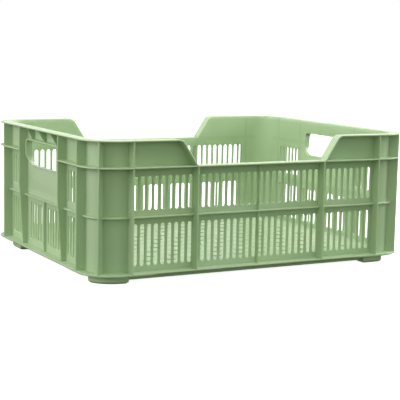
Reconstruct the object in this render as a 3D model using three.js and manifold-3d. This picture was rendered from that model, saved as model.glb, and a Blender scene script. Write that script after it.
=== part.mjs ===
// Rigid harvest crate with slotted walls, dipped long sides, hand holes and stacking feet.
// Millimetres, +Z up, X along the long sides, front wall towards -Y. The origin is under the
// middle of the crate, on the surface that its feet stand on.

import * as THREE from 'three';
import { mergeGeometries, mergeVertices } from 'three/addons/utils/BufferGeometryUtils.js';
import Module from 'manifold-3d';

const wasm = await Module();
wasm.setup();

// ---- Driving dimensions -------------------------------------------------------------------

const LENGTH = 500;
const WIDTH = 394;
const HEIGHT = 186;
const CORNER_RADIUS = 47;      // outer envelope, seen from above
const RIB_DEPTH = 13.5;        // from the outer envelope to the wall's outer face
const WALL = 2.5;
const RIB = 2.5;               // thickness of an upright rib
const FLANGE = 2.4;            // thickness of the rim and of the upper rib
const FOOT_HEIGHT = 10;
const FLOOR = 3;
const LOW_RIM = 151.4;         // height of the dipped part of the long sides
const DIP_BOTTOM = 100;        // half length of the dip at the low rim
const DIP_TOP = 122.5;         // half length of the dip at the high rim
const DIP_ROUNDING = 12;       // radius where the high rim turns down into the dip
const MID_RIB = 85;            // height of the shallow rib between the two rows of slots
const MID_RIB_DEPTH = 5;
const CORNER_RIB_X = 192.5;    // upright rib on a long side, next to the corner
const DEEP_RIB_X = 99.2;       // deep upright rib on a long side
const CORNER_RIB_Y = 142.3;    // upright rib on an end, next to the corner
const DEEP_RIB_Y = 75.5;       // deep upright rib on an end, beside the hand hole
const DEEP_RIB_FOOT_DEPTH = 7.5;
const TAPER_START = 100;       // height below which the deep end ribs taper
const CENTRE_RIB_DEPTH = 4;

const SLOT_PITCH = 9.9;
const SLOT_WIDTH = 6.2;
const UPPER_SLOT = [94, 138.5];
const LOWER_SLOT = [21, 76];
const OUTER_BAY_SLOTS = 9;     // on a long side, between the corner's rib and the deep rib
const INNER_BAY_SLOTS = 10;    // on a long side, between the deep rib and the middle
const END_SLOTS = 6;           // in each slotted part of an end
const FIRST_END_SLOT = 9.6;    // from the middle of an end to the nearest slot

const HOLE_HALF_WIDTH = 60;
const HOLE_Z = [131, 166];
const HOLE_ROUNDING = 12;
const LIP_DEPTH = 8;
const LIP = 2.5;
const GUSSET_Y = [-46, 0, 46];

const FLOOR_HOLE = [14, 6];
const FLOOR_PITCH = [36, 30];
const FLOOR_HOLES = [11, 11];  // holes along X and rows along Y

const FOOT_INSET = [7, 28];            // from the outer envelope to a foot's two sides
const CORNER_FOOT_END = 195;           // a curved foot's end on the long side, from the middle
const CORNER_FOOT_TURN = 71;           // degrees of the bend that it follows
const LONG_FOOT_SPAN = [176, 208];     // a straight foot on a long side, from the middle
const END_FOOT_SPAN = [88, 122];       // a straight foot on an end, from the middle
const FOOT_CHAMFER = 2.5;
const SKIRT_BOTTOM = 3.5;
const SKIRT_SPAN = [-194, 174];        // the front skirt's ends

const GAP = 0.3;               // clearance between curved faces that meet
const ARC_STEPS = 8;

const halfL = LENGTH / 2;
const halfW = WIDTH / 2;
const wallOuterX = halfL - RIB_DEPTH;
const wallOuterY = halfW - RIB_DEPTH;
const wallBottom = FOOT_HEIGHT + FLOOR;
const rimBottom = HEIGHT - FLANGE;
const upperRibBottom = LOW_RIM - FLANGE;
const rimInset = RIB_DEPTH + WALL;
const longWallHalf = CORNER_RIB_X - RIB / 2;
const endWallHalf = CORNER_RIB_Y - RIB / 2;

// ---- Material -----------------------------------------------------------------------------

const plastic = new THREE.MeshStandardMaterial({ color: 0xa3bd92, roughness: 0.48, metalness: 0 });

// ---- Small geometry tools -----------------------------------------------------------------

function closed(geometry) {
  geometry.deleteAttribute('normal');
  geometry.deleteAttribute('uv');
  return mergeVertices(geometry, 1e-4);
}

function solid(geometry) {
  const clean = closed(geometry);
  return new wasm.Manifold(new wasm.Mesh({
    numProp: 3,
    vertProperties: new Float32Array(clean.attributes.position.array),
    triVerts: new Uint32Array(clean.index.array),
  }));
}

function surface(body) {
  const mesh = body.getMesh();
  const geometry = new THREE.BufferGeometry();
  geometry.setAttribute('position', new THREE.BufferAttribute(mesh.vertProperties, 3));
  geometry.setIndex(new THREE.BufferAttribute(mesh.triVerts, 1));
  return geometry;
}

function union(...geometries) {
  return surface(geometries.map(solid).reduce((whole, next) => whole.add(next)));
}

function cut(geometry, cutters) {
  return surface(solid(geometry).subtract(solid(mergeGeometries(cutters))));
}

function box(lo, hi) {
  const geometry = new THREE.BoxGeometry(hi[0] - lo[0], hi[1] - lo[1], hi[2] - lo[2]);
  return geometry.translate((lo[0] + hi[0]) / 2, (lo[1] + hi[1]) / 2, (lo[2] + hi[2]) / 2);
}

// A plan-view shape raised from one height to another.
function raised(shape, bottom, top) {
  const options = { depth: top - bottom, bevelEnabled: false, curveSegments: ARC_STEPS };
  return new THREE.ExtrudeGeometry(shape, options).translate(0, 0, bottom);
}

// A shape drawn in X and Z, standing between two Y planes.
function standingAlongX(shape, yFront, yBack) {
  const options = { depth: yBack - yFront, bevelEnabled: false, curveSegments: ARC_STEPS };
  return new THREE.ExtrudeGeometry(shape, options).rotateX(Math.PI / 2).translate(0, yBack, 0);
}

// A shape drawn in Y and Z, standing between two X planes.
function standingAlongY(shape, xLeft, xRight) {
  const options = { depth: xRight - xLeft, bevelEnabled: false, curveSegments: ARC_STEPS };
  const geometry = new THREE.ExtrudeGeometry(shape, options);
  return geometry.rotateX(Math.PI / 2).rotateZ(Math.PI / 2).translate(xLeft, 0, 0);
}

// The same piece on the other side of the crate: signs of -1 mirror X or Y.
function mirrored(geometry, signX, signY) {
  const copy = geometry.clone().scale(signX, signY, 1);
  if (signX * signY > 0) return copy;
  const flat = copy.index ? copy.toNonIndexed() : copy;
  const at = flat.attributes.position;
  for (let i = 0; i < at.count; i += 3) {
    const swap = [at.getX(i), at.getY(i), at.getZ(i)];
    at.setXYZ(i, at.getX(i + 1), at.getY(i + 1), at.getZ(i + 1));
    at.setXYZ(i + 1, ...swap);
  }
  return flat;
}

function polygon(points) {
  return new THREE.Shape(points.map(([x, y]) => new THREE.Vector2(x, y)));
}

function roundedRectangle(Kind, halfX, y0, y1, radius) {
  const path = new Kind();
  path.moveTo(-halfX + radius, y0);
  path.lineTo(halfX - radius, y0);
  path.absarc(halfX - radius, y0 + radius, radius, -Math.PI / 2, 0);
  path.lineTo(halfX, y1 - radius);
  path.absarc(halfX - radius, y1 - radius, radius, 0, Math.PI / 2);
  path.lineTo(-halfX + radius, y1);
  path.absarc(-halfX + radius, y1 - radius, radius, Math.PI / 2, Math.PI);
  path.lineTo(-halfX, y0 + radius);
  path.absarc(-halfX + radius, y0 + radius, radius, Math.PI, 1.5 * Math.PI);
  path.closePath();
  return path;
}

// ---- Shapes that follow the front left corner, seen from above ----------------------------

// A band between two insets from the outer envelope. It runs from the point at -xEnd on the
// front side, round the corner, to the point at -yEnd on the left end.
function cornerBand(outerInset, innerInset, xEnd, yEnd) {
  const centre = [-halfL + CORNER_RADIUS, -halfW + CORNER_RADIUS];
  const shape = new THREE.Shape();
  shape.moveTo(-xEnd, -halfW + outerInset);
  shape.lineTo(-xEnd, -halfW + innerInset);
  shape.lineTo(centre[0], -halfW + innerInset);
  shape.absarc(...centre, CORNER_RADIUS - innerInset, -Math.PI / 2, -Math.PI, true);
  shape.lineTo(-halfL + innerInset, -yEnd);
  shape.lineTo(-halfL + outerInset, -yEnd);
  shape.lineTo(-halfL + outerInset, centre[1]);
  shape.absarc(...centre, CORNER_RADIUS - outerInset, -Math.PI, -Math.PI / 2, false);
  shape.closePath();
  return shape;
}

function insetPlan(Kind, inset) {
  const edge = halfW - inset;
  return roundedRectangle(Kind, halfL - inset, -edge, edge, CORNER_RADIUS - inset);
}

// ---- Base ---------------------------------------------------------------------------------

// The floor plate: rows of short holes, each row shifted half a pitch from its neighbours.
function floorGrid() {
  const plate = raised(insetPlan(THREE.Shape, RIB_DEPTH + GAP), FOOT_HEIGHT, wallBottom);
  const [countX, countY] = FLOOR_HOLES;
  const [a, b] = FLOOR_HOLE.map((size) => size / 2);
  const holes = [];
  for (let row = 0; row < countY; row += 1) {
    const y = (row - (countY - 1) / 2) * FLOOR_PITCH[1];
    const shift = (row % 2 ? 0.25 : -0.25) * FLOOR_PITCH[0];
    for (let column = 0; column < countX; column += 1) {
      const x = (column - (countX - 1) / 2) * FLOOR_PITCH[0] + shift;
      holes.push(box([x - a, y - b, FOOT_HEIGHT - FLOOR], [x + a, y + b, wallBottom + FLOOR]));
    }
  }
  return cut(plate, holes);
}

function baseFlange() {
  const plan = insetPlan(THREE.Shape, 0);
  plan.holes.push(insetPlan(THREE.Path, RIB_DEPTH));
  return raised(plan, FOOT_HEIGHT, wallBottom);
}

// A foot block from its plan, smaller all round by the chamfer where it meets the ground.
function footBlock(planAt) {
  const layers = [0, FOOT_CHAMFER].map(planAt);
  const count = layers[0].length;
  const heights = [[0, FOOT_HEIGHT], [0, FOOT_CHAMFER], [1, 0]];
  const positions = heights.flatMap(([layer, z]) => layers[layer].flatMap((p) => [p.x, p.y, z]));
  const triangles = [];
  for (let ring = 0; ring < heights.length - 1; ring += 1) {
    for (let i = 0; i < count; i += 1) {
      const next = (i + 1) % count;
      const upper = ring * count;
      const lower = upper + count;
      triangles.push(upper + i, lower + i, upper + next, upper + next, lower + i, lower + next);
    }
  }
  const capTriangles = THREE.ShapeUtils.triangulateShape(layers[0], []);
  const last = (heights.length - 1) * count;
  for (const [a, b, c] of capTriangles) {
    triangles.push(a, b, c, last + a, last + c, last + b);
  }
  const geometry = new THREE.BufferGeometry();
  geometry.setAttribute('position', new THREE.Float32BufferAttribute(positions, 3));
  geometry.setIndex(triangles);
  return geometry;
}

// The plan of a curved foot: it starts on the long side and stops part-way round the bend.
function cornerFootPlan(chamfer) {
  const outer = FOOT_INSET[0] + chamfer;
  const inner = FOOT_INSET[1] - chamfer;
  const centre = [-halfL + CORNER_RADIUS, -halfW + CORNER_RADIUS];
  const start = -CORNER_FOOT_END - chamfer;
  const turn = THREE.MathUtils.degToRad(CORNER_FOOT_TURN) - chamfer / CORNER_RADIUS;
  const stop = -Math.PI / 2 - turn;
  const shape = new THREE.Shape();
  shape.moveTo(start, -halfW + outer);
  shape.lineTo(start, -halfW + inner);
  shape.lineTo(centre[0], -halfW + inner);
  shape.absarc(...centre, CORNER_RADIUS - inner, -Math.PI / 2, stop, true);
  shape.absarc(...centre, CORNER_RADIUS - outer, stop, -Math.PI / 2, false);
  shape.closePath();
  return shape.extractPoints(ARC_STEPS).shape.slice(0, -1);
}

// A straight foot between two X and two Y values.
function straightFoot([left, right], [near, far]) {
  return footBlock((chamfer) => [
    new THREE.Vector2(right - chamfer, near + chamfer),
    new THREE.Vector2(right - chamfer, far - chamfer),
    new THREE.Vector2(left + chamfer, far - chamfer),
    new THREE.Vector2(left + chamfer, near + chamfer),
  ]);
}

function longSideFoot() {
  const [near, far] = LONG_FOOT_SPAN;
  const [outer, inner] = FOOT_INSET;
  return straightFoot([-far, -near], [-halfW + outer, -halfW + inner]);
}

function endFoot() {
  const [near, far] = END_FOOT_SPAN;
  const [outer, inner] = FOOT_INSET;
  return straightFoot([-halfL + outer, -halfL + inner], [-far, -near]);
}

function stackingSkirt() {
  const [left, right] = SKIRT_SPAN;
  const lo = [left, -wallOuterY + GAP, SKIRT_BOTTOM];
  return box(lo, [right, -wallOuterY + GAP + WALL, FOOT_HEIGHT]);
}

// ---- Corners ------------------------------------------------------------------------------

function cornerShell() {
  const wallBand = cornerBand(RIB_DEPTH, rimInset, longWallHalf, endWallHalf);
  const reach = [CORNER_RIB_X + RIB / 2 + GAP, CORNER_RIB_Y + RIB / 2 + GAP];
  const midBand = cornerBand(RIB_DEPTH - MID_RIB_DEPTH, RIB_DEPTH + WALL / 2, ...reach);
  const wall = raised(wallBand, wallBottom, rimBottom);
  const midRib = raised(midBand, MID_RIB - RIB / 2, MID_RIB + RIB / 2);
  const diagonalGap = cornerUpright(RIB + 2 * GAP, MID_RIB - RIB, MID_RIB + RIB, RIB_DEPTH);
  return surface(solid(wall).add(solid(midRib)).subtract(solid(diagonalGap)));
}

// An upright rib on the corner's diagonal, from the outer envelope in to a given inset.
function cornerUpright(thickness, bottom, top, innerInset) {
  const radial = box(
    [CORNER_RADIUS - innerInset, -thickness / 2, bottom],
    [CORNER_RADIUS, thickness / 2, top],
  );
  radial.rotateZ(-0.75 * Math.PI);
  return radial.translate(-halfL + CORNER_RADIUS, -halfW + CORNER_RADIUS, 0);
}

// The three full-depth uprights of a corner, tied together by the upper rib round it.
function cornerRibs() {
  const depth = RIB_DEPTH - GAP;
  const onFront = box(
    [-CORNER_RIB_X - RIB / 2, -halfW, wallBottom],
    [-CORNER_RIB_X + RIB / 2, -halfW + depth, rimBottom],
  );
  const onEnd = box(
    [-halfL, -CORNER_RIB_Y - RIB / 2, wallBottom],
    [-halfL + depth, -CORNER_RIB_Y + RIB / 2, rimBottom],
  );
  const diagonal = cornerUpright(RIB, wallBottom, rimBottom, depth);
  const band = cornerBand(0, depth, longWallHalf, DEEP_RIB_Y + RIB / 2);
  return union(raised(band, upperRibBottom, LOW_RIM), onFront, onEnd, diagonal);
}

// The top surface of the high rim where it turns down into the dip, lowered by an offset.
function dipOutline(offset) {
  const run = DIP_TOP - DIP_BOTTOM;
  const drop = HEIGHT - LOW_RIM;
  const length = Math.hypot(run, drop);
  const slope = Math.atan2(drop, run);
  const tangent = DIP_ROUNDING * Math.tan(slope / 2);
  const centre = [-DIP_TOP - tangent, HEIGHT - DIP_ROUNDING];
  const points = [];
  for (let step = 0; step <= ARC_STEPS; step += 1) {
    const angle = Math.PI / 2 - (slope * step) / ARC_STEPS;
    const radius = DIP_ROUNDING - offset;
    points.push([centre[0] + radius * Math.cos(angle), centre[1] + radius * Math.sin(angle)]);
  }
  const shift = (offset * length) / drop;
  points.push([-DIP_BOTTOM - shift, LOW_RIM]);
  return points;
}

// The top rim round a corner, with its run down the slope of the dip.
function cornerRim() {
  const tangentX = -halfL + CORNER_RADIUS;
  const tangentY = -halfW + CORNER_RADIUS;
  const round = raised(cornerBand(0, rimInset, -tangentX - GAP, -tangentY), rimBottom, HEIGHT);
  const top = [[tangentX, HEIGHT], ...dipOutline(0)];
  const underside = [[tangentX, rimBottom], ...dipOutline(FLANGE)].reverse();
  const run = standingAlongX(polygon([...top, ...underside]), -halfW, -halfW + rimInset);
  return union(round, run);
}

// ---- Long sides ---------------------------------------------------------------------------

function spaced(first, count) {
  return Array.from({ length: count }, (_, i) => first + i * SLOT_PITCH);
}

// Upright slots through a long side, at the given X centres.
function longSlots(centres, rows) {
  return rows.flatMap(([bottom, top]) => centres.map((x) => box(
    [x - SLOT_WIDTH / 2, -wallOuterY - WALL, bottom],
    [x + SLOT_WIDTH / 2, -wallOuterY + 2 * WALL, top],
  )));
}

function longBay(x0, x1, firstSlot, count, ribX0, ribX1) {
  const sheet = box([x0, -wallOuterY, wallBottom], [x1, -wallOuterY + WALL, upperRibBottom]);
  const panel = cut(sheet, longSlots(spaced(firstSlot, count), [UPPER_SLOT, LOWER_SLOT]));
  const midRib = box(
    [ribX0, -wallOuterY - MID_RIB_DEPTH, MID_RIB - RIB / 2],
    [ribX1, -wallOuterY + WALL / 2, MID_RIB + RIB / 2],
  );
  return union(panel, midRib);
}

// The bay beside the corner, between the corner's rib and the deep rib.
function outerBay() {
  const first = -DEEP_RIB_X - (OUTER_BAY_SLOTS - 0.5) * SLOT_PITCH;
  const midRibSpan = [-longWallHalf, -DEEP_RIB_X - RIB / 2];
  return longBay(-longWallHalf, -DEEP_RIB_X, first, OUTER_BAY_SLOTS, ...midRibSpan);
}

// The bay in the dip, between the deep rib and the shallow rib at the middle.
function innerBay() {
  const first = -(INNER_BAY_SLOTS - 0.5) * SLOT_PITCH;
  const midRibSpan = [-DEEP_RIB_X + RIB / 2, -RIB / 2];
  return longBay(-DEEP_RIB_X, 0, first, INNER_BAY_SLOTS, ...midRibSpan);
}

function longDeepRib() {
  const lo = [-DEEP_RIB_X - RIB / 2, -halfW, wallBottom];
  return box(lo, [-DEEP_RIB_X + RIB / 2, -wallOuterY, upperRibBottom]);
}

function longCentreRib() {
  const lo = [-RIB / 2, -wallOuterY - CENTRE_RIB_DEPTH, wallBottom];
  return box(lo, [RIB / 2, -wallOuterY, upperRibBottom]);
}

function lowRim() {
  const lo = [-longWallHalf, -halfW, upperRibBottom];
  return box(lo, [longWallHalf, -halfW + rimInset, LOW_RIM]);
}

function highWall() {
  const left = -longWallHalf;
  const outline = [[left, LOW_RIM], [left, rimBottom], ...dipOutline(FLANGE)];
  return standingAlongX(polygon(outline.reverse()), -wallOuterY, -wallOuterY + WALL);
}

// ---- Ends ---------------------------------------------------------------------------------

// The upper half of an end between its deep ribs, with the hand hole and the lip round it.
function handlePanel() {
  const outline = (Kind, spare) => roundedRectangle(
    Kind,
    HOLE_HALF_WIDTH + spare,
    HOLE_Z[0] - spare,
    HOLE_Z[1] + spare,
    HOLE_ROUNDING + spare,
  );
  const half = DEEP_RIB_Y;
  const panelShape = polygon([[-half, MID_RIB], [half, MID_RIB], [half, rimBottom], [-half, rimBottom]]);
  panelShape.holes.push(outline(THREE.Path, 0));
  const lipShape = outline(THREE.Shape, LIP);
  lipShape.holes.push(outline(THREE.Path, 0));
  const lipEdge = -wallOuterX - LIP_DEPTH;
  const pieces = [
    standingAlongY(panelShape, -wallOuterX, -wallOuterX + WALL),
    standingAlongY(lipShape, lipEdge, -wallOuterX + WALL / 2),
  ];
  for (const y of GUSSET_Y) {
    const triangle = polygon([
      [-wallOuterX + WALL / 2, HOLE_Z[1] + LIP / 2],
      [lipEdge, HOLE_Z[1] + LIP / 2],
      [-halfL + GAP, rimBottom],
      [-wallOuterX + WALL / 2, rimBottom],
    ]);
    pieces.push(standingAlongX(triangle, y - RIB / 2, y + RIB / 2));
  }
  return union(...pieces);
}

// Upright slots through an end, at the given Y centres.
function endSlots(centres, rows) {
  return rows.flatMap(([bottom, top]) => centres.map((y) => box(
    [-wallOuterX - WALL, y - SLOT_WIDTH / 2, bottom],
    [-wallOuterX + 2 * WALL, y + SLOT_WIDTH / 2, top],
  )));
}

function endSheet(y0, y1, top) {
  return box([-wallOuterX, y0, wallBottom], [-wallOuterX + WALL, y1, top]);
}

// The lower half of an end between its deep ribs, with slots, the mid rib and a thin rib.
function lowerEndPanel() {
  const centres = spaced(FIRST_END_SLOT, END_SLOTS);
  const slots = endSlots([...centres.map((y) => -y), ...centres], [LOWER_SLOT]);
  const panel = cut(endSheet(-DEEP_RIB_Y, DEEP_RIB_Y, MID_RIB), slots);
  const inner = -wallOuterX + WALL / 2;
  const clear = DEEP_RIB_Y - RIB / 2;
  const midRib = box([-wallOuterX - MID_RIB_DEPTH, -clear, MID_RIB - RIB], [inner, clear, MID_RIB]);
  const thinRib = box([-wallOuterX - CENTRE_RIB_DEPTH, -RIB / 2, wallBottom], [inner, RIB / 2, MID_RIB]);
  return union(panel, midRib, thinRib);
}

// A slotted strip between a corner's rib and a deep rib.
function endStrip() {
  const middle = (CORNER_RIB_Y + DEEP_RIB_Y) / 2;
  const first = -middle - ((END_SLOTS - 1) / 2) * SLOT_PITCH;
  const slots = endSlots(spaced(first, END_SLOTS), [UPPER_SLOT, LOWER_SLOT]);
  const panel = cut(endSheet(-endWallHalf, -DEEP_RIB_Y, rimBottom), slots);
  const midRib = box(
    [-wallOuterX - MID_RIB_DEPTH, -endWallHalf, MID_RIB - RIB / 2],
    [-wallOuterX + WALL / 2, -DEEP_RIB_Y - RIB / 2, MID_RIB + RIB / 2],
  );
  return union(panel, midRib);
}

function endDeepRib() {
  const outline = polygon([
    [-wallOuterX, wallBottom],
    [-wallOuterX, rimBottom],
    [-halfL, rimBottom],
    [-halfL, TAPER_START],
    [-wallOuterX - DEEP_RIB_FOOT_DEPTH, wallBottom],
  ]);
  return standingAlongX(outline, -DEEP_RIB_Y - RIB / 2, -DEEP_RIB_Y + RIB / 2);
}

function endRim() {
  const half = halfW - CORNER_RADIUS;
  return box([-halfL, -half, rimBottom], [-halfL + rimInset, half, HEIGHT]);
}

// ---- Assembly -----------------------------------------------------------------------------

const group = new THREE.Group();

function add(name, geometry) {
  const mesh = new THREE.Mesh(closed(geometry.clone()), plastic);
  mesh.name = name;
  group.add(mesh);
}

const SIDES = { front: 1, back: -1 };
const ENDS = { left: 1, right: -1 };

add('floor_grid', floorGrid());
add('base_flange', baseFlange());

for (const [side, signY] of Object.entries(SIDES)) {
  add(`${side}_low_rim`, mirrored(lowRim(), 1, signY));
  add(`${side}_centre_rib`, mirrored(longCentreRib(), 1, signY));
  add(`${side}_stacking_skirt`, mirrored(stackingSkirt(), signY, signY));
  for (const [end, signX] of Object.entries(ENDS)) {
    add(`${side}_outer_bay_${end}`, mirrored(outerBay(), signX, signY));
    add(`${side}_inner_bay_${end}`, mirrored(innerBay(), signX, signY));
    add(`${side}_deep_rib_${end}`, mirrored(longDeepRib(), signX, signY));
    add(`${side}_high_wall_${end}`, mirrored(highWall(), signX, signY));
    add(`corner_shell_${side}_${end}`, mirrored(cornerShell(), signX, signY));
    add(`corner_ribs_${side}_${end}`, mirrored(cornerRibs(), signX, signY));
    add(`corner_rim_${side}_${end}`, mirrored(cornerRim(), signX, signY));
    add(`${end}_end_strip_${side}`, mirrored(endStrip(), signX, signY));
    add(`${end}_deep_rib_${side}`, mirrored(endDeepRib(), signX, signY));
  }
}

// The feet are not the same at the four corners: a curved one at front left and back right,
// a straight one on the long side at front right and on the end at back left.
add('foot_front_left', footBlock(cornerFootPlan));
add('foot_front_right', mirrored(longSideFoot(), -1, 1));
add('foot_back_left', mirrored(endFoot(), 1, -1));
add('foot_back_right', mirrored(footBlock(cornerFootPlan), -1, -1));

for (const [end, signX] of Object.entries(ENDS)) {
  add(`${end}_handle_panel`, mirrored(handlePanel(), signX, 1));
  add(`${end}_lower_panel`, mirrored(lowerEndPanel(), signX, 1));
  add(`${end}_end_rim`, mirrored(endRim(), signX, 1));
}

export default group;
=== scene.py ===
"""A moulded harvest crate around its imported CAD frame: fine surface, material, studio."""

import math

import bpy
from mathutils import Matrix, Vector
from mathutils.geometry import tessellate_polygon


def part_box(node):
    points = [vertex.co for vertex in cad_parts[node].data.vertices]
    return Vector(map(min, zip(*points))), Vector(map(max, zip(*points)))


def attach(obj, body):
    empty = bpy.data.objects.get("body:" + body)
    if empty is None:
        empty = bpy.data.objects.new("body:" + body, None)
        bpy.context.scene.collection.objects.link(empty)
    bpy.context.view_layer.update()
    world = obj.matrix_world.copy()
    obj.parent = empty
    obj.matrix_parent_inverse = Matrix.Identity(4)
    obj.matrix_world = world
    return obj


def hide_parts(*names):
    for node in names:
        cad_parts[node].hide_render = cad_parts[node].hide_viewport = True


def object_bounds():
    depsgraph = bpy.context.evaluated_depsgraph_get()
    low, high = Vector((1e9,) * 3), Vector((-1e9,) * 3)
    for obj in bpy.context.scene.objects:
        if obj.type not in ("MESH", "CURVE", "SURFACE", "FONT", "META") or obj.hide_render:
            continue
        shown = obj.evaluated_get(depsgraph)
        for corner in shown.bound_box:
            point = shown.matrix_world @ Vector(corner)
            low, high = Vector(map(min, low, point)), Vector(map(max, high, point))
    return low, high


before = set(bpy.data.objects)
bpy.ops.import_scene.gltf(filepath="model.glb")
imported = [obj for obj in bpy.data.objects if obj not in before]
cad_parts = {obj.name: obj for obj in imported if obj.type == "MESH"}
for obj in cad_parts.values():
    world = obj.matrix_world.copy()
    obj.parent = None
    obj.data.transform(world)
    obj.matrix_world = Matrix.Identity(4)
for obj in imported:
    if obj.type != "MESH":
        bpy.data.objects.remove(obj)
cad_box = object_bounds()

# ---- Dimensions, in metres. What the CAD frame fixes is read from it. ----------------------

MM = 0.001

HALF_X, HALF_Y, HEIGHT = cad_box[1]
BODY = "root"


def middle(node, axis):
    """Distance of a CAD node's middle from the crate's own middle, along one axis."""
    low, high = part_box(node)
    return abs(low[axis] + high[axis]) / 2


RIM_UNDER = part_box("left_end_rim")[0].z
RIM = HEIGHT - RIM_UNDER
RIM_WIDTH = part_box("left_end_rim")[1].x + HALF_X
CORNER_RADIUS = HALF_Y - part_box("left_end_rim")[1].y
UPPER_RIB_UNDER, LOW_RIM = (corner.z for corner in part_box("front_low_rim"))
FLOOR_UNDER, FLOOR_TOP = (corner.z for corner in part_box("floor_grid"))
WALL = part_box("front_high_wall_left")[1].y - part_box("front_high_wall_left")[0].y
RIB_DEPTH = RIM_WIDTH - WALL
DEEP_RIB_X = middle("front_deep_rib_left", 0)
DEEP_RIB_Y = middle("left_deep_rib_front", 1)
LONG_WALL_HALF = -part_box("front_outer_bay_left")[0].x
END_WALL_HALF = -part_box("left_end_strip_front")[0].y
RIB = 2.5 * MM
CORNER_RIB_X = LONG_WALL_HALF + RIB / 2
CORNER_RIB_Y = END_WALL_HALF + RIB / 2
CORE_X = HALF_X - CORNER_RADIUS
CORE_Y = HALF_Y - CORNER_RADIUS

DIP_BOTTOM = 100 * MM
DIP_TOP = 122.5 * MM
DIP_ROUNDING = 12 * MM
DIP_FILLET = 4 * MM

MID_RIB_Z = 85 * MM
MID_RIB_DEPTH = 5 * MM
CENTRE_RIB_DEPTH = 4 * MM
DEEP_RIB_FOOT_DEPTH = 7.5 * MM
TAPER_START = 100 * MM

SLOT_PITCH = 9.9 * MM
SLOT_WIDTH = 6.2 * MM
UPPER_SLOT = (94 * MM, 138.5 * MM)
LOWER_SLOT = (21 * MM, 76 * MM)
OUTER_BAY_SLOTS = 9
INNER_BAY_SLOTS = 10
END_SLOTS = 6
FIRST_END_SLOT = 9.6 * MM

HOLE_HALF = 60 * MM
HOLE_Z = (131 * MM, 166 * MM)
HOLE_TOP_RADIUS = 6 * MM
HOLE_BOTTOM_RADIUS = 13 * MM
LIP = 2.5 * MM
LIP_DEPTH = 8 * MM
SILL_DEPTH = 3 * MM
LIP_BULGE = 2.5 * MM
GUSSETS_Y = (-46 * MM, 0, 46 * MM)

FLOOR_HOLE = (14 * MM, 6 * MM)
FLOOR_PITCH = (36 * MM, 30 * MM)
FLOOR_HOLES = (11, 11)

SOFT_EDGE = 1.0 * MM       # rounding of rib tips and of the rim, which leaves hardly any flat
FLANGE_EDGE = 0.75 * MM
SLOT_EDGE = 0.7 * MM
RIM_INNER_ROUNDING = 1.1 * MM
ROOT_FILLET = 1.2 * MM
FLOOR_COVE = 3 * MM        # rounding between the floor and the inner walls
SINK = 0.5 * MM            # how far a piece reaches into the one it grows from
DRAFT = 0.35 * MM          # how far each face of a rib leans out from its tip to its root
SECTION_FILLET = 3 * ROOT_FILLET   # how far a rib's fillet spreads along the wall
SKIN_GAP = 0.05 * MM       # keeps the upper ribs inside the CAD solids
DEEP_RIB_DEPTH = RIB_DEPTH - 0.1 * MM   # stays just inside the outer envelope
UPPER_RIB_END = DIP_BOTTOM - 4 * MM     # where an upper rib ends, inside the low rim
TIP_ANGLES = [math.pi / 6, math.pi / 3]   # where a lip's rounded edge has its points

# The flange is thinner along the middle of each side than round the corners.
LONG_SHALLOW_HALF = 166 * MM
END_SHALLOW_HALF = 112 * MM
SHALLOW_TAPER = 12 * MM
SHALLOW_RISE = 1.4 * MM

FOOT_OUTER = 7 * MM
FOOT_INNER = 28 * MM
FOOT_END = 195 * MM
FOOT_TURN = math.radians(71)
FOOT_ROUNDING = 1 * MM
# (inset, height) pairs up a foot's eased lower edge, from the ground.
FOOT_EASING = ((2.9 * MM, 0), (2.1 * MM, 0.5 * MM), (0.4 * MM, 2.4 * MM), (0, 3.2 * MM))

SIDES = ("front", "back")
ENDS = ("left", "right")
CORNER_NAMES = ("front_right", "back_right", "back_left", "front_left")

SAGE = (0.375, 0.530, 0.295)
SAGE_WARM = (0.390, 0.538, 0.290)
SAGE_PALE = (0.445, 0.590, 0.365)
SAGE_DEEP = (0.335, 0.490, 0.262)
# Sizes of the material's patterns: the larger the value, the finer the pattern.
CLOUD_SCALE = 9
SHEEN_SCALE = 60
SCUFF_SCALE = 230
SPECK_SCALE = 420
GRAIN_SCALE = 1400
SINK_MARK_HALF = 3.5 * MM
SINK_MARK_REACH = 1.6 * MM  # how deep from the inner face the marks colour the wall
SINK_MARK_STRENGTH = 0.7
SCUFF_RIM = 6 * MM
SCUFF_FOOT = 5 * MM
SCUFF_ROUGHNESS = 0.3

# ---- Outlines ------------------------------------------------------------------------------


def arc(centre, radius, start, end, steps):
    """Points of an arc, both ends included. Angles are in radians."""
    points = []
    for step in range(steps + 1):
        angle = start + (end - start) * step / steps
        points.append(Vector((centre[0] + radius * math.cos(angle),
                              centre[1] + radius * math.sin(angle))))
    return points


def rounded(corners, steps=3):
    """A closed outline through corners (x, y, radius), each rounded by its radius."""
    points = []
    for index, (x, y, radius) in enumerate(corners):
        here = Vector((x, y))
        if radius == 0:
            points.append(here)
            continue
        before = (Vector(corners[index - 1][:2]) - here).normalized()
        after = (Vector(corners[(index + 1) % len(corners)][:2]) - here).normalized()
        half = before.angle(after) / 2
        centre = here + (before + after).normalized() * radius / math.sin(half)
        reach = radius / math.tan(half)
        first = here + before * reach - centre
        last = here + after * reach - centre
        start = math.atan2(first.y, first.x)
        turn = (math.atan2(last.y, last.x) - start + math.pi) % (2 * math.pi) - math.pi
        points += arc(centre, radius, start, start + turn, steps)
    return points


def stadium(x, low, high, grow):
    """An upright slot with round ends, made wider all round by grow."""
    radius = SLOT_WIDTH / 2
    bottom = arc((x, low + radius), radius + grow, math.pi, 2 * math.pi, 8)
    top = arc((x, high - radius), radius + grow, 0, math.pi, 8)
    return bottom + top


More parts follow.
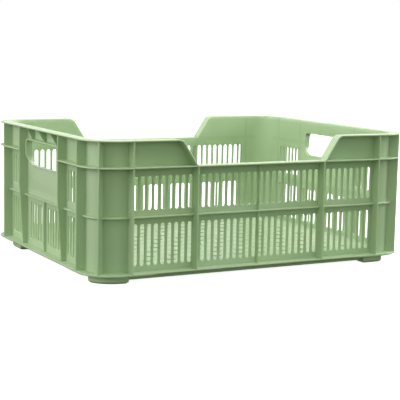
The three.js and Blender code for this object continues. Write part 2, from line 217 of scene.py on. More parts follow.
def hand_hole(grow):
    """The hand hole seen from outside, with sharper corners at the top than below."""
    half = HOLE_HALF + grow
    low, high = HOLE_Z[0] - grow, HOLE_Z[1] + grow
    below, above = HOLE_BOTTOM_RADIUS + grow, HOLE_TOP_RADIUS + grow
    corners = [(-half, low, below), (half, low, below), (half, high, above), (-half, high, above)]
    return rounded(corners, 8)


# ---- Solids --------------------------------------------------------------------------------


def shade(mesh, limit=math.radians(24)):
    """Smooth shading that breaks at edges sharper than the limit."""
    mesh.shade_smooth()
    mesh.set_sharp_from_angle(angle=limit)


def piece(name, points, faces, replaces=()):
    """A new piece of the crate from points and faces, riding on the crate's one body."""
    mesh = bpy.data.meshes.new(name)
    mesh.from_pydata([tuple(p) for p in points], [], faces)
    mesh.validate()
    mesh.materials.append(PLASTIC)
    shade(mesh)
    obj = bpy.data.objects.new(name, mesh)
    bpy.context.scene.collection.objects.link(obj)
    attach(obj, BODY)
    if replaces:
        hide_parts(*replaces)
    return obj


def skin(rings, closed=False):
    """Points and faces of a solid through rings of equal length, capped unless closed."""
    size = len(rings[0])
    points = [point for ring in rings for point in ring]
    faces = []
    spans = len(rings) if closed else len(rings) - 1
    for span in range(spans):
        here, there = span * size, (span + 1) % len(rings) * size
        for i in range(size):
            j = (i + 1) % size
            faces.append((here + i, here + j, there + j, there + i))
    if not closed:
        last = (len(rings) - 1) * size
        faces.append(tuple(reversed(range(size))))
        faces.append(tuple(range(last, last + size)))
    return points, faces


def joined(*solids):
    """Several solids' points and faces as one set."""
    points, faces = [], []
    for more_points, more_faces in solids:
        start = len(points)
        points += more_points
        faces += [tuple(start + i for i in face) for face in more_faces]
    return points, faces


def turned(solid, matrix):
    """The solid moved by a matrix, with its faces still outwards if the matrix mirrors."""
    points, faces = solid
    if matrix.determinant() < 0:
        faces = [tuple(reversed(face)) for face in faces]
    return [matrix @ Vector(point) for point in points], faces


def plate(outline, holes, thickness, edge=SLOT_EDGE, steps=3):
    """A flat plate in its own X and Y, from Z 0 to its thickness, with round-edged holes.

    Each hole is a function that gives its outline for an amount to grow by.
    """
    quarter = [math.pi / 2 * step / steps for step in range(steps + 1)]
    levels = [(edge * (1 - math.cos(a)), edge * (1 - math.sin(a))) for a in quarter]
    levels += [(thickness - depth, grow) for depth, grow in reversed(levels)]
    loops = [[Vector((*p, 0)) for p in outline]]
    loops += [[Vector((*p, 0)) for p in hole(edge)] for hole in holes]
    flat = [point for loop in loops for point in loop]
    triangles = tessellate_polygon(loops)
    lift = Vector((0, 0, thickness))
    count = len(flat)
    points = flat + [point + lift for point in flat]
    faces = [(a, b, c) if upright(flat, a, b, c) < 0 else (a, c, b) for a, b, c in triangles]
    faces += [tuple(count + i for i in reversed(face)) for face in faces]
    size = len(outline)
    for i in range(size):
        j = (i + 1) % size
        faces.append((i, j, count + j, count + i))
    start = size
    for hole, loop in zip(holes, loops[1:]):
        rings = [list(range(start, start + len(loop)))]
        for depth, grow in levels[1:-1]:
            rings.append(list(range(len(points), len(points) + len(loop))))
            points += [Vector((*p, depth)) for p in hole(grow)]
        rings.append([count + i for i in rings[0]])
        for lower, upper in zip(rings, rings[1:]):
            for i in range(len(loop)):
                j = (i + 1) % len(loop)
                faces.append((lower[j], lower[i], upper[i], upper[j]))
        start += len(loop)
    return points, faces


def upright(points, a, b, c):
    """Twice the signed area of a flat triangle."""
    return (points[b] - points[a]).cross(points[c] - points[a]).z


# ---- Paths round the crate -----------------------------------------------------------------


class Station:
    """A place on the way round the crate: a core point, the outward direction, a height."""

    def __init__(self, core, out, z=0.0):
        self.core = core
        self.out = out
        self.z = z
        self.up = Vector((0, 0, 1))

    def at(self, inset, rise):
        """The point at an inset from the outer envelope, and at a rise along the way up."""
        flat = self.core + self.out * (CORNER_RADIUS - inset)
        return Vector((flat.x, flat.y, self.z)) + self.up * rise


def side_frame(side):
    """Outward direction, running direction, core distance and half length of a side.

    Sides 0 to 3 are the front, right, back and left, met in turn anticlockwise.
    """
    angle = math.pi / 2 * (side - 1)
    out = Vector((round(math.cos(angle)), round(math.sin(angle))))
    along = Vector((-out.y, out.x))
    return (out, along, CORE_Y, CORE_X) if side % 2 == 0 else (out, along, CORE_X, CORE_Y)


def corner_stations(side, steps=14):
    """The stations of the corner that follows a side."""
    out, along, core, half = side_frame(side)
    centre = out * core + along * half
    start = math.atan2(out.y, out.x)
    quarter = arc((0, 0), 1, start, start + math.pi / 2, steps)
    return [Station(centre, direction) for direction in quarter]


def ring_stations(long_stops=(), steps=14):
    """Stations once round the crate. long_stops adds (distance, height) along each long side."""
    stations = []
    for side in range(4):
        out, along, core, _ = side_frame(side)
        if side % 2 == 0:
            for distance, height in long_stops:
                stations.append(Station(out * core + along * distance, out, height))
        stations += corner_stations(side, steps)
    return stations


def lean(stations):
    """Tilts the way up of each station square to the path where the height changes."""
    ups = []
    for index, here in enumerate(stations):
        before, after = stations[index - 1], stations[(index + 1) % len(stations)]
        tilts = []
        for a, b in ((before, here), (here, after)):
            run = b.at(0, 0) - a.at(0, 0)
            tilts.append(Vector((0, 0, 1)) - run * run.z / run.length_squared)
        first, second = (tilt.normalized() for tilt in tilts)
        middle_up = (first + second).normalized()
        ups.append(middle_up / middle_up.dot(first))
    for station, up in zip(stations, ups):
        station.up = up


def sweep(stations, section, closed=True):
    """A solid that carries a section of (inset, rise) points along the stations."""
    rings = [[station.at(*point) for point in section] for station in stations]
    return skin(rings, closed)


def dip_stops():
    """(distance, height) along a long side's top edge, from the left high end to the right."""
    corners = [
        (-CORE_X, HEIGHT, 0),
        (-DIP_TOP, HEIGHT, DIP_ROUNDING),
        (-DIP_BOTTOM, LOW_RIM, DIP_FILLET),
        (DIP_BOTTOM, LOW_RIM, DIP_FILLET),
        (DIP_TOP, HEIGHT, DIP_ROUNDING),
        (CORE_X, HEIGHT, 0),
    ]
    return rounded(corners, 8)[1:-1]


# ---- Material ------------------------------------------------------------------------------


def sink_marks(combine, stripe, x, y, z):
    """Faint lines on the inner walls where the outside ribs meet them."""
    half = SINK_MARK_HALF
    level = combine("MAXIMUM", stripe(z, LOW_RIM - RIM / 2, half), stripe(z, MID_RIB_Z, half))

    def wall(depth, inner_face, across, ribs):
        lines = combine("MAXIMUM", stripe(across, ribs[0], half), stripe(across, ribs[1], half))
        marks = combine("MAXIMUM", level, lines)
        return combine("MULTIPLY", marks, stripe(depth, inner_face, SINK_MARK_REACH))

    long_walls = wall(y, HALF_Y - RIM_WIDTH, x, (DEEP_RIB_X, CORNER_RIB_X))
    end_walls = wall(x, HALF_X - RIM_WIDTH, y, (DEEP_RIB_Y, CORNER_RIB_Y))
    return combine("MAXIMUM", long_walls, end_walls)


def moulded_plastic():
    """Pale green plastic: cloudy colour, fine grain, sink marks, scuffs on rim and feet."""
    material = bpy.data.materials.new("moulded_green_plastic")
    material.use_nodes = True
    nodes, links = material.node_tree.nodes, material.node_tree.links
    shader = nodes["Principled BSDF"]
    shader.inputs["IOR"].default_value = 1.49
    shader.inputs["Subsurface Weight"].default_value = 0.5
    shader.inputs["Subsurface Radius"].default_value = (1.0, 1.0, 0.8)
    shader.inputs["Subsurface Scale"].default_value = 0.002
    place = nodes.new("ShaderNodeTexCoord").outputs["Object"]

    def noise(scale, detail, roughness=0.5):
        node = nodes.new("ShaderNodeTexNoise")
        node.inputs["Scale"].default_value = scale
        node.inputs["Detail"].default_value = detail
        node.inputs["Roughness"].default_value = roughness
        links.new(place, node.inputs["Vector"])
        return node.outputs["Fac"]

    def ramp(value, low, high, from_low=0.0, from_high=1.0):
        node = nodes.new("ShaderNodeMapRange")
        node.inputs["From Min"].default_value = from_low
        node.inputs["From Max"].default_value = from_high
        node.inputs["To Min"].default_value = low
        node.inputs["To Max"].default_value = high
        links.new(value, node.inputs["Value"])
        return node.outputs["Result"]

    def mix(factor, first, second):
        node = nodes.new("ShaderNodeMix")
        node.data_type = "RGBA"
        links.new(factor, node.inputs["Factor"])
        for socket, colour in ((node.inputs["A"], first), (node.inputs["B"], second)):
            if isinstance(colour, tuple):
                socket.default_value = (*colour, 1)
            else:
                links.new(colour, socket)
        return node.outputs["Result"]

    def combine(operation, first, second=None):
        node = nodes.new("ShaderNodeMath")
        node.operation = operation
        for socket, value in zip(node.inputs, (first, second)):
            if isinstance(value, float):
                socket.default_value = value
            elif value is not None:
                links.new(value, socket)
        return node.outputs[0]

    def stripe(value, centre, half_width):
        """1 near a centre value, fading to 0 at half a width away from it."""
        off = combine("ABSOLUTE", combine("SUBTRACT", value, float(centre)))
        return ramp(off, 1, 0, half_width / 2, half_width)

    axes = nodes.new("ShaderNodeSeparateXYZ")
    links.new(place, axes.inputs[0])
    x, y = combine("ABSOLUTE", axes.outputs["X"]), combine("ABSOLUTE", axes.outputs["Y"])
    z = axes.outputs["Z"]

    cloud = ramp(noise(CLOUD_SCALE, 3), 0, 1, 0.35, 0.65)
    body = mix(cloud, SAGE, SAGE_WARM)
    marks = combine("MULTIPLY", sink_marks(combine, stripe, x, y, z), SINK_MARK_STRENGTH)
    body = mix(marks, body, SAGE_DEEP)
    speck = ramp(noise(SPECK_SCALE, 2), 0, 0.35, 0.62, 0.8)
    handled = combine("MAXIMUM", stripe(z, HEIGHT, SCUFF_RIM), stripe(z, 0, SCUFF_FOOT))
    patches = ramp(noise(SCUFF_SCALE, 4, 0.7), 0, 0.6, 0.52, 0.66)
    scuffed = combine("MULTIPLY", handled, patches)
    pale = combine("MAXIMUM", speck, scuffed)
    links.new(mix(pale, body, SAGE_PALE), shader.inputs["Base Color"])
    smooth = ramp(noise(SHEEN_SCALE, 4, 0.6), 0.28, 0.42)
    worn = combine("MULTIPLY", scuffed, SCUFF_ROUGHNESS)
    links.new(combine("ADD", smooth, worn), shader.inputs["Roughness"])

    bump = nodes.new("ShaderNodeBump")
    bump.inputs["Strength"].default_value = 0.12
    bump.inputs["Distance"].default_value = 0.0003
    links.new(noise(GRAIN_SCALE, 3), bump.inputs["Height"])
    links.new(bump.outputs["Normal"], shader.inputs["Normal"])
    return material


PLASTIC = moulded_plastic()

# ---- Rims, flanges and the ribs that run round ---------------------------------------------


def top_rim():
    """The rim that runs level round the crate and down into the dips."""
    inner = RIM_WIDTH + 0.1 * MM
    section = rounded([
        (0, 0, SOFT_EDGE),
        (0, -RIM, SOFT_EDGE),
        (RIB_DEPTH, -RIM, ROOT_FILLET),
        (RIB_DEPTH + SINK, -RIM - SECTION_FILLET, 0),
        (inner, -RIM - SECTION_FILLET, 0),
        (inner, 0, RIM_INNER_ROUNDING),
    ])
    stations = ring_stations(dip_stops())
    for station in stations:
        if station.z == 0:
            station.z = HEIGHT
    lean(stations)
    nodes = [f"{side}_low_rim" for side in SIDES] + [f"{end}_end_rim" for end in ENDS]
    nodes += [f"corner_rim_{side}_{end}" for side in SIDES for end in ENDS]
    piece("top_rim", *sweep(stations, section), nodes)


def upper_ribs():
    """The rib at the low rim's height that carries on round both ends of the crate."""
    inner = RIB_DEPTH + SINK
    low = UPPER_RIB_UNDER + SKIN_GAP
    high = LOW_RIM - SKIN_GAP
    section = rounded([
        (SKIN_GAP, low, SOFT_EDGE),
        (SKIN_GAP, high, SOFT_EDGE),
        (RIB_DEPTH, high, ROOT_FILLET),
        (inner, high + SECTION_FILLET, 0),
        (inner, low - SECTION_FILLET, 0),
        (RIB_DEPTH, low, ROOT_FILLET),
    ])
    for side in range(4):
        out, along, core, half = side_frame(side)
        after_out, after_along, after_core, _ = side_frame((side + 1) % 4)
        long_first = side % 2 == 0
        start = UPPER_RIB_END if long_first else DEEP_RIB_Y
        end = DEEP_RIB_Y if long_first else UPPER_RIB_END
        stations = [Station(out * core + along * start, out)]
        stations += corner_stations(side)
        stations.append(Station(after_out * after_core - after_along * end, after_out))
        piece(f"upper_rib_{side + 1}", *sweep(stations, section, closed=False))


def mid_rib():
    """The shallow rib that runs all the way round between the two rows of slots."""
    outer = RIB_DEPTH - MID_RIB_DEPTH
    inner = RIB_DEPTH + SINK
    half = RIB / 2
    section = rounded([
        (outer, -half, SOFT_EDGE),
        (outer, half, SOFT_EDGE),
        (RIB_DEPTH, half, ROOT_FILLET),
        (inner, half + SECTION_FILLET, 0),
        (inner, -half - SECTION_FILLET, 0),
        (RIB_DEPTH, -half, ROOT_FILLET),
    ])
    stations = ring_stations()
    for station in stations:
        station.z = MID_RIB_Z
    piece("mid_rib", *sweep(stations, section))


def base_flange():
    """The flange at the floor's height, a little deeper round the corners."""
    deep, shallow = FLOOR_UNDER - 0.1 * MM, FLOOR_UNDER + SHALLOW_RISE
    inner_edge = RIM_WIDTH + 4 * MM

    def ring(station, low):
        section = rounded([
            (0, low, FLANGE_EDGE),
            (0, FLOOR_TOP, FLANGE_EDGE),
            (RIB_DEPTH, FLOOR_TOP, ROOT_FILLET),
            (RIB_DEPTH + SINK, FLOOR_TOP + SECTION_FILLET, 0),
            (RIM_WIDTH, FLOOR_TOP + 3.2 * MM, 0),
            (RIM_WIDTH, FLOOR_TOP, FLOOR_COVE),
            (inner_edge, FLOOR_TOP, 0),
            (inner_edge, FLOOR_UNDER, 0),
            (1.5 * MM, FLOOR_UNDER, 0),
        ])
        return [station.at(*point) for point in section]

    rings = []
    for side in range(4):
        out, along, core, half = side_frame(side)
        reach = LONG_SHALLOW_HALF if side % 2 == 0 else END_SHALLOW_HALF
        thin = reach - SHALLOW_TAPER
        stops = [(-reach, deep), (-thin, shallow), (thin, shallow), (reach, deep)]
        for distance, low in stops:
            rings.append(ring(Station(out * core + along * distance, out), low))
        rings += [ring(station, deep) for station in corner_stations(side)]
    piece("base_flange_round", *skin(rings, closed=True), ["base_flange"])


# ---- Walls ---------------------------------------------------------------------------------


def slot_row(first, count, row):
    """Slots of one row, as functions of the amount to grow by."""
    low, high = row
    centres = [first + i * SLOT_PITCH for i in range(count)]
    return [lambda grow, x=x: stadium(x, low, high, grow) for x in centres]


def wall_matrix(side):
    """Carries a plate drawn in (along, height, inwards) to a side of the crate."""
    out, along, core, _ = side_frame(side)
    face = out * (core + CORNER_RADIUS - RIB_DEPTH)
    columns = ((*along, 0), (0, 0, 1), (*-out, 0))
    return Matrix.Translation((*face, 0)) @ Matrix(columns).transposed().to_4x4()


def long_wall(side):
    """A long side with its two rows of slots, dipping in the middle."""
    bottom = FLOOR_UNDER + SINK
    outline = [Vector((-LONG_WALL_HALF, bottom)), Vector((LONG_WALL_HALF, bottom))]
    outline.append(Vector((LONG_WALL_HALF, RIM_UNDER + SINK)))
    for x, z in reversed(dip_stops()):
        outline.append(Vector((x, z - RIM / 2)))
    outline.append(Vector((-LONG_WALL_HALF, RIM_UNDER + SINK)))
    holes = []
    for row in (UPPER_SLOT, LOWER_SLOT):
        first_outer = DEEP_RIB_X + SLOT_PITCH / 2
        holes += slot_row(-DEEP_RIB_X - (OUTER_BAY_SLOTS - 0.5) * SLOT_PITCH, OUTER_BAY_SLOTS, row)
        holes += slot_row(first_outer, OUTER_BAY_SLOTS, row)
        holes += slot_row(-(INNER_BAY_SLOTS - 0.5) * SLOT_PITCH, 2 * INNER_BAY_SLOTS, row)
    solid = turned(plate(outline, holes, WALL), wall_matrix(side))
    name = SIDES[side // 2]
    kinds = ("outer_bay", "inner_bay", "high_wall")
    nodes = [f"{name}_{kind}_{end}" for kind in kinds for end in ENDS]
    piece(f"{name}_wall", *solid, nodes)


def end_wall(side):
    """An end with slotted strips, a blank panel, a lower grille and the hand hole."""
    bottom, top = FLOOR_UNDER + SINK, RIM_UNDER + SINK
    half = END_WALL_HALF
    outline = [Vector(p) for p in ((-half, bottom), (half, bottom), (half, top), (-half, top))]
    strip_middle = (CORNER_RIB_Y + DEEP_RIB_Y) / 2
    strip_first = strip_middle - (END_SLOTS - 1) / 2 * SLOT_PITCH
    strip_last = -strip_middle - (END_SLOTS - 1) / 2 * SLOT_PITCH
    holes = [hand_hole]
    for row in (UPPER_SLOT, LOWER_SLOT):
        holes += slot_row(strip_first, END_SLOTS, row)
        holes += slot_row(strip_last, END_SLOTS, row)
    holes += slot_row(FIRST_END_SLOT, END_SLOTS, LOWER_SLOT)
    lower_first = -FIRST_END_SLOT - (END_SLOTS - 1) * SLOT_PITCH
    holes += slot_row(lower_first, END_SLOTS, LOWER_SLOT)
    solid = turned(plate(outline, holes, WALL), wall_matrix(side))
    name = "right" if side == 1 else "left"
    nodes = [f"{name}_end_strip_{edge}" for edge in SIDES]
    nodes += [f"{name}_handle_panel", f"{name}_lower_panel"]
    piece(f"{name}_end_wall", *solid, nodes)


def corner_shell(side):
    """The curved wall between two sides."""
    out, along, core, _ = side_frame(side)
    after_out, after_along, after_core, _ = side_frame((side + 1) % 4)
    halves = (LONG_WALL_HALF, END_WALL_HALF)
    first, last = halves if side % 2 == 0 else reversed(halves)
    stations = [Station(out * core + along * first, out)]
    stations += corner_stations(side, 18)
    stations.append(Station(after_out * after_core - after_along * last, after_out))
    bottom, top = FLOOR_UNDER + SINK, RIM_UNDER + SINK
    section = [(RIB_DEPTH, bottom), (RIB_DEPTH, top), (RIM_WIDTH, top), (RIM_WIDTH, bottom)]
    where = CORNER_NAMES[side]
    piece(f"corner_wall_{where}", *sweep(stations, section, closed=False), [f"corner_shell_{where}"])


# ---- Upright ribs --------------------------------------------------------------------------


def rib_outline(depth):
    """An upright rib's plan: (across, outwards from the wall), with its root fillets."""
    tip = RIB / 2 - DRAFT / 2
    root = RIB / 2 + DRAFT / 2
    skirt = root + ROOT_FILLET
    return rounded([
        (-skirt, -SINK, 0),
        (skirt, -SINK, 0),
        (skirt, 0, 0),
        (root, 0, ROOT_FILLET * 0.95),
        (tip, depth, SOFT_EDGE),
        (-tip, depth, SOFT_EDGE),
        (-root, 0, ROOT_FILLET * 0.95),
        (-skirt, 0, 0),
    ])


def upright_rib(root, out, levels):
    """A rib that stands on the wall at a root point. levels holds its (height, depth) pairs."""
    across = Vector((-out.y, out.x))
    rings = []
    for height, depth in levels:
        ring = []
        for x, y in rib_outline(depth):
            flat = root + across * x + out * y
            ring.append(Vector((flat.x, flat.y, height)))
        rings.append(ring)
    return skin(rings)


def wall_point(side, distance):
    """The point of a side's outer wall face at a distance along it, and the side's out."""
    out, along, core, _ = side_frame(side)
    return out * (core + CORNER_RADIUS - RIB_DEPTH) + along * distance, out


def corner_uprights(side):
    """The three full-depth ribs of the corner that follows a side."""
    bottom, top = FLOOR_TOP - SINK, RIM_UNDER + SINK
    levels = [(bottom, DEEP_RIB_DEPTH), (top, DEEP_RIB_DEPTH)]
    first, last = (CORNER_RIB_X, CORNER_RIB_Y) if side % 2 == 0 else (CORNER_RIB_Y, CORNER_RIB_X)
    out, along, core, half = side_frame(side)
    diagonal = (out + along).normalized()
    centre = out * core + along * half
    solids = [
        upright_rib(*wall_point(side, first), levels),
        upright_rib(*wall_point((side + 1) % 4, -last), levels),
        upright_rib(centre + diagonal * (CORNER_RADIUS - RIB_DEPTH), diagonal, levels),
    ]
    where = CORNER_NAMES[side]
    piece(f"corner_uprights_{where}", *joined(*solids), [f"corner_ribs_{where}"])


def long_side_ribs(side):
    """The two deep ribs and the shallow middle one of a long side."""
    name = SIDES[side // 2]
    low, high = FLOOR_TOP - SINK, UPPER_RIB_UNDER + SINK
    mirror = 1 if side == 0 else -1
    levels = [(low, DEEP_RIB_DEPTH), (high, DEEP_RIB_DEPTH)]
    for sign, end in ((-1, "left"), (1, "right")):
        solid = upright_rib(*wall_point(side, sign * mirror * DEEP_RIB_X), levels)
        piece(f"{name}_upright_{end}", *solid, [f"{name}_deep_rib_{end}"])
    levels = [(low, CENTRE_RIB_DEPTH), (high, CENTRE_RIB_DEPTH)]
    solid = upright_rib(*wall_point(side, 0), levels)
    piece(f"{name}_middle_rib", *solid, [f"{name}_centre_rib"])


def end_ribs(side):
    """The two deep ribs beside the hand hole, tapering below, and the thin one between."""
    name = "right" if side == 1 else "left"
    mirror = 1 if side == 1 else -1
    levels = [
        (FLOOR_TOP - SINK, DEEP_RIB_FOOT_DEPTH),
        (TAPER_START, DEEP_RIB_DEPTH),
        (RIM_UNDER + SINK, DEEP_RIB_DEPTH),
    ]
    for sign, edge in ((-1, "front"), (1, "back")):
        solid = upright_rib(*wall_point(side, sign * mirror * DEEP_RIB_Y), levels)
        piece(f"{name}_upright_{edge}", *solid, [f"{name}_deep_rib_{edge}"])
    levels = [(FLOOR_TOP - SINK, CENTRE_RIB_DEPTH), (MID_RIB_Z, CENTRE_RIB_DEPTH)]
    piece(f"{name}_thin_rib", *upright_rib(*wall_point(side, 0), levels))


# ---- Hand holes ----------------------------------------------------------------------------


def smoothstep(value, low, high):
    """0 below low and 1 above high, with a smooth change between them."""
    t = min(1, max(0, (value - low) / (high - low)))
    return t * t * (3 - 2 * t)


def hand_lip(side):
    """The lip round a hand hole: deep over the top and sides, a shallow sill below."""
    rings = []
    inner, outer = hand_hole(0), hand_hole(LIP)
    middle_z = (HOLE_Z[0] + HOLE_Z[1]) / 2
    half_height = (HOLE_Z[1] - HOLE_Z[0]) / 2
    for a, b in zip(inner, outer):
        rising = smoothstep(a.y, HOLE_Z[0] + 1 * MM, HOLE_Z[0] + 16 * MM)
        depth = SILL_DEPTH + (LIP_DEPTH - SILL_DEPTH) * rising
        off_middle = min(1, abs(a.y - middle_z) / half_height)
        bulge = LIP_BULGE * (1 - off_middle ** 2) * smoothstep(abs(a.x), HOLE_HALF - 8 * MM, HOLE_HALF)
        flare = Vector((math.copysign(bulge, a.x), 0))
        span = b - a
        ring = []
        for share, out in lip_profile(depth):
            flat = a + span * share + flare * max(0, out / depth)
            ring.append(Vector((flat.x, flat.y, -out)))
        rings.append(ring)
    solids = [skin(rings, closed=True)]
    for y in GUSSETS_Y:
        solids.append(gusset(y))
    name = "right" if side == 1 else "left"
    piece(f"{name}_hand_hole_lip", *turned(joined(*solids), wall_matrix(side)))


def lip_profile(depth):
    """(share of the lip's thickness, distance out from the wall) round the lip's section."""
    soft = SOFT_EDGE / LIP
    points = [(0, -WALL / 2), (0, depth - SOFT_EDGE)]
    bend = [(soft * (1 - math.cos(a)), depth - SOFT_EDGE * (1 - math.sin(a))) for a in TIP_ANGLES]
    points += bend
    points += [(1 - share, out) for share, out in reversed(bend)]
    points += [(1, depth - SOFT_EDGE), (1, -WALL / 2)]
    return points


def gusset(y):
    """A small web between the lip and the rim above it."""
    low, high = HOLE_Z[1] + LIP / 2, RIM_UNDER + SINK
    outline = [(low, -WALL / 2), (low, SILL_DEPTH), (high, RIB_DEPTH - 1 * MM), (high, -WALL / 2)]
    half = RIB / 2 - DRAFT
    rings = [[Vector((y + across, z, -out)) for z, out in outline] for across in (-half, half)]
    return skin(rings)


# ---- Floor and feet ------------------------------------------------------------------------


def floor_plate():
    """The floor: rows of short round-cornered holes, each row shifted half a pitch."""
    edge = RIM_WIDTH + 3 * MM
    half_x, half_y, radius = HALF_X - edge, HALF_Y - edge, CORNER_RADIUS - edge
    outline = rounded([
        (-half_x, -half_y, radius),
        (half_x, -half_y, radius),
        (half_x, half_y, radius),
        (-half_x, half_y, radius),
    ], 12)
    long_half, short_half = FLOOR_HOLE[0] / 2, FLOOR_HOLE[1] / 2
    columns, rows = FLOOR_HOLES
    holes = []
    for row in range(rows):
        y = (row - (rows - 1) / 2) * FLOOR_PITCH[1]
        shift = FLOOR_PITCH[0] / 4 * (1 if row % 2 else -1)
        for column in range(columns):
            x = (column - (columns - 1) / 2) * FLOOR_PITCH[0] + shift

            def hole(grow, x=x, y=y):
                a, b, r = long_half + grow, short_half + grow, 2 * MM + grow
                return rounded([
                    (x - a, y - b, r),
                    (x + a, y - b, r),
                    (x + a, y + b, r),
                    (x - a, y + b, r),
                ])

            holes.append(hole)
    lift = Matrix.Translation((0, 0, FLOOR_UNDER))
    solid = turned(plate(outline, holes, FLOOR_TOP - FLOOR_UNDER), lift)
    piece("perforated_floor", *solid, ["floor_grid"])


def curved_foot_outline(side, chamfer):
    """The plan of the foot that bends from one side to the next, smaller by the chamfer."""
    out, along, core, half = side_frame(side)
    next_out, next_along, next_core, _ = side_frame((side + 1) % 4)
    centre = out * core + along * half
    facing = math.atan2(out.y, out.x)
    begin = facing + math.pi / 2 - FOOT_TURN + chamfer / CORNER_RADIUS
    bend = arc((0, 0), 1, begin, facing + math.pi / 2, 12)
    stations = [Station(centre, direction) for direction in bend]
    stations.append(Station(next_out * next_core - next_along * (FOOT_END + chamfer), next_out))
    outer = [station.at(FOOT_OUTER + chamfer, 0) for station in stations]
    inner = [station.at(FOOT_INNER - chamfer, 0) for station in reversed(stations)]
    return outer + inner


def straight_foot_outline(name, chamfer):
    """The plan of a straight foot, taken from its CAD node, smaller by the chamfer."""
    low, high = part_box(name)
    left, right = low.x + chamfer, high.x - chamfer
    near, far = low.y + chamfer, high.y - chamfer
    return rounded([(x, y, FOOT_ROUNDING) for x, y in (
        (left, near),
        (right, near),
        (right, far),
        (left, far),
    )])


def foot(where, outline):
    """A foot block under a corner, with its lower edges eased."""
    rings = []
    for chamfer, height in ((0, FLOOR_UNDER + SINK), *reversed(FOOT_EASING)):
        rings.append([Vector((p.x, p.y, height)) for p in outline(chamfer)])
    piece(f"corner_foot_{where}", *skin(rings), [f"foot_{where}"])


def skirt(side):
    """The recessed strip under a long side that locates a stacked crate."""
    name = SIDES[side // 2]
    low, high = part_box(f"{name}_stacking_skirt")
    top = FLOOR_UNDER + SINK
    section = rounded([
        (low.y, top, 0),
        (high.y, top, 0),
        (high.y, low.z, SOFT_EDGE),
        (low.y, low.z, SOFT_EDGE),
    ])
    rings = [[Vector((x, y, z)) for y, z in section] for x in (low.x, high.x)]
    piece(f"{name}_skirt", *skin(rings), [f"{name}_stacking_skirt"])


top_rim()
upper_ribs()
mid_rib()
base_flange()
for side in (0, 2):
    long_wall(side)
    long_side_ribs(side)
    skirt(side)
for side in (1, 3):
    end_wall(side)
    end_ribs(side)
    hand_lip(side)
for side in range(4):
    corner_shell(side)
    corner_uprights(side)
foot("front_left", lambda chamfer: curved_foot_outline(3, chamfer))
foot("back_right", lambda chamfer: curved_foot_outline(1, chamfer))
for corner in ("front_right", "back_left"):
    foot(corner, lambda chamfer, name=f"foot_{corner}": straight_foot_outline(name, chamfer))
floor_plate()

# ---- Studio --------------------------------------------------------------------------------


def studio_floor():
    """A pale floor for the camera alone, which sends no light back to the crate."""
    size = 20
    mesh = bpy.data.meshes.new("studio_floor")
    corners = [(-size, -size, 0), (size, -size, 0), (size, size, 0), (-size, size, 0)]
    mesh.from_pydata(corners, [], [(0, 1, 2, 3)])
    material = bpy.data.materials.new("pale_floor")
    material.use_nodes = True
    shader = material.node_tree.nodes["Principled BSDF"]
    shader.inputs["Base Color"].default_value = (0.86, 0.86, 0.86, 1)
    shader.inputs["Roughness"].default_value = 0.9
    shader.inputs["Emission Color"].default_value = (1, 1, 1, 1)
    shader.inputs["Emission Strength"].default_value = FLOOR_GLOW
    mesh.materials.append(material)
    floor = bpy.data.objects.new("studio_floor", mesh)
    bpy.context.scene.collection.objects.link(floor)
    floor.visible_diffuse = False
    floor.visible_glossy = False


def backdrop():
    """A white surround for the camera. As light it is dimmer, and dark below the horizon."""
    world = bpy.data.worlds.new("studio")
    world.use_nodes = True
    nodes, links = world.node_tree.nodes, world.node_tree.links
    fill = nodes["Background"]
    fill.inputs["Color"].default_value = FILL_COLOR
    direction = nodes.new("ShaderNodeTexCoord")
    parts = nodes.new("ShaderNodeSeparateXYZ")
    height = nodes.new("ShaderNodeMapRange")
    height.inputs["From Min"].default_value = -1.0
    height.inputs["From Max"].default_value = 1.0
    band = nodes.new("ShaderNodeValToRGB")
    band.color_ramp.elements[1].position = FILL_BAND[-1][0]
    for place, _ in FILL_BAND[1:-1]:
        band.color_ramp.elements.new(place)
    for stop, (place, level) in zip(band.color_ramp.elements, FILL_BAND):
        stop.position = place
        stop.color = (level, level, level, 1)
    links.new(direction.outputs["Generated"], parts.inputs[0])
    links.new(parts.outputs["Z"], height.inputs["Value"])
    links.new(height.outputs["Result"], band.inputs["Fac"])
    dimmed = nodes.new("ShaderNodeMath")
    dimmed.operation = "MULTIPLY"
    dimmed.inputs[1].default_value = FILL_STRENGTH
    links.new(band.outputs["Color"], dimmed.inputs[0])
    links.new(dimmed.outputs[0], fill.inputs["Strength"])
    path = nodes.new("ShaderNodeLightPath")

    def white(strength):
        background = nodes.new("ShaderNodeBackground")
        background.inputs["Color"].default_value = (1, 1, 1, 1)
        background.inputs["Strength"].default_value = 1.0
        if strength:
            links.new(strength, background.inputs["Strength"])
        return background.outputs[0]

    def choose(ray, other, chosen):
        either = nodes.new("ShaderNodeMixShader")
        links.new(path.outputs[ray], either.inputs[0])
        links.new(other, either.inputs[1])
        links.new(chosen, either.inputs[2])
        return either.outputs[0]

    light = choose("Is Glossy Ray", fill.outputs[0], white(band.outputs["Color"]))
    surround = choose("Is Camera Ray", light, white(None))
    links.new(surround, nodes["World Output"].inputs["Surface"])
    bpy.context.scene.world = world


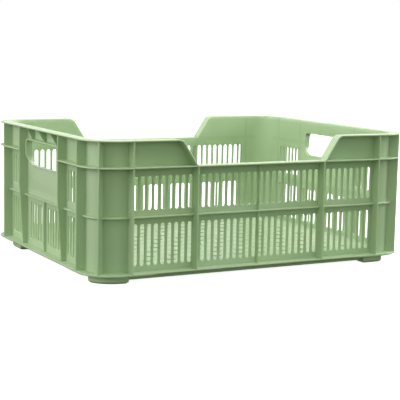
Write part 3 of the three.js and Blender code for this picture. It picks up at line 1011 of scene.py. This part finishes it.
def softbox(name, place, target, size, power):
    """A rectangular lamp at a place, turned to a target. Sizes in metres, power in watts."""
    lamp = bpy.data.lights.new(name, "AREA")
    lamp.color = LAMP_COLOR
    lamp.shape = "RECTANGLE"
    lamp.size, lamp.size_y = size
    lamp.energy = power
    obj = bpy.data.objects.new(name, lamp)
    obj.location = place
    obj.rotation_euler = (Vector(target) - Vector(place)).to_track_quat("-Z", "Y").to_euler()
    bpy.context.scene.collection.objects.link(obj)


def camera():
    """The photo's viewpoint."""
    azimuth, elevation, roll = 0.4946, 0.1384, 0.0212
    aim, distance, lens = Vector((0.0059, -0.0062, 0.0755)), 1.766, 106.0
    forward = Vector((
        math.sin(azimuth) * math.cos(elevation),
        math.cos(azimuth) * math.cos(elevation),
        -math.sin(elevation),
    ))
    level = forward.cross(Vector((0, 0, 1))).normalized()
    above = level.cross(forward)
    right = level * math.cos(roll) + above * math.sin(roll)
    up = above * math.cos(roll) - level * math.sin(roll)
    data = bpy.data.cameras.new("camera")
    data.lens = lens
    data.sensor_width = 36
    data.clip_start = 0.05
    data.clip_end = 100
    obj = bpy.data.objects.new("camera", data)
    turn = Matrix((right, up, -forward)).transposed().to_4x4()
    obj.matrix_world = Matrix.Translation(aim - forward * distance) @ turn
    bpy.context.scene.collection.objects.link(obj)
    bpy.context.scene.camera = obj


FILL_STRENGTH = 1.2
FILL_COLOR = (0.92, 1.0, 0.87, 1)   # a little of the crate's own green in the shade
# (height of a direction, from 0 straight down through 0.5 level to 1 straight up, brightness)
FILL_BAND = ((0.0, 0.05), (0.45, 0.15), (0.53, 1.0), (0.64, 1.0), (0.8, 0.4), (1.0, 0.3))
LAMP_COLOR = (1.0, 0.84, 1.06)
FLOOR_GLOW = 0.9

studio_floor()
backdrop()
softbox("overhead", (0, 0.1, 2.2), (0, 0.05, 0), (0.8, 0.8), 34)
softbox("front_top", (0.0, -0.6, 1.2), (0, 0, 0.1), (0.7, 0.5), 4)
softbox("key_left", (-1.7, 0.2, 0.7), (0, 0, 0.1), (1.2, 1.2), 18.5)
softbox("right", (1.9, -0.3, 0.9), (0, 0, 0.1), (1.2, 1.2), 36)
camera()
bpy.context.scene.view_settings.view_transform = "Standard"
